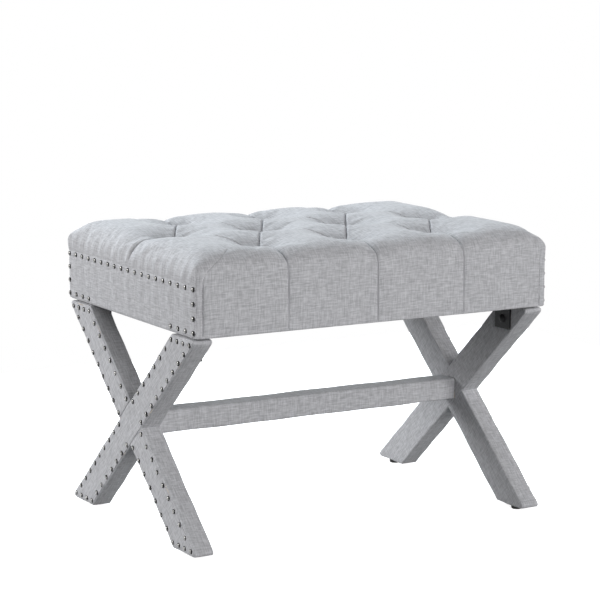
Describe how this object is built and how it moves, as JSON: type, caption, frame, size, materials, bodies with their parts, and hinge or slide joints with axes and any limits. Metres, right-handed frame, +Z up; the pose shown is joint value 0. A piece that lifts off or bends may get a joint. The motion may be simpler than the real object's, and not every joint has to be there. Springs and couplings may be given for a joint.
{
  "type": "tufted ottoman",
  "caption": "Rectangular upholstered ottoman with a diamond-tufted seat on two cloth-covered X-shaped leg frames joined by a stretcher, edged with dome-headed nails.",
  "frame": {"origin": "on the floor under the centre of the seat", "axes": "+X along the seat's length, +Y from the front to the back, +Z up"},
  "size_m": [0.6348, 0.46, 0.472],
  "materials": {
    "linen": "plain weave, slubby, matt",
    "dust_cloth": "non-woven, matt",
    "foam": "open-cell foam",
    "plywood": "raw",
    "pine": "planed, raw",
    "beech_dowel": "turned, raw",
    "nail_heads": "polished nickel",
    "black_plastic": "moulded",
    "black_steel": "black, satin",
    "zinc_steel": "zinc plated",
    "twine": "waxed twine"
  },
  "bodies": {
    "root": {"bracket_leg_bolts": "black_steel", "bracket_leg_inserts": "zinc_steel", "bracket_seat_bolts": "black_steel", "bracket_tee_nuts": "zinc_steel", "dust_cover": "dust_cloth", "dust_cover_staples": "zinc_steel", "glide_nails": "zinc_steel", "lap_screws": "zinc_steel", "left_back_bracket": "black_steel", "left_back_glide": "black_plastic", "left_back_leg": "pine", "left_back_leg_cover": "linen", "left_end_panel": "linen", "left_front_bracket": "black_steel", "left_front_glide": "black_plastic", "left_front_leg": "pine", "left_front_leg_lower_cover": "linen", "left_front_leg_upper_cover": "linen", "left_leg_cleat": "pine", "left_leg_nails": "nail_heads", "left_seat_nails": "nail_heads", "right_back_bracket": "black_steel", "right_back_glide": "black_plastic", "right_back_leg": "pine", "right_back_leg_cover": "linen", "right_end_panel": "linen", "right_front_bracket": "black_steel", "right_front_glide": "black_plastic", "right_front_leg": "pine", "right_front_leg_lower_cover": "linen", "right_front_leg_upper_cover": "linen", "right_leg_cleat": "pine", "right_leg_nails": "nail_heads", "right_seat_nails": "nail_heads", "seat_back_rail": "pine", "seat_corner_blocks": "pine", "seat_cover": "linen", "seat_deck": "plywood", "seat_dowels": "beech_dowel", "seat_foam": "foam", "seat_front_rail": "pine", "seat_left_rail": "pine", "seat_right_rail": "pine", "stretcher": "pine", "stretcher_cover": "linen", "stretcher_inserts": "zinc_steel", "stretcher_studs": "zinc_steel", "tuft_buttons": "linen", "tuft_twines": "twine", "tuft_washers": "zinc_steel"}
  },
  "joints": []
}
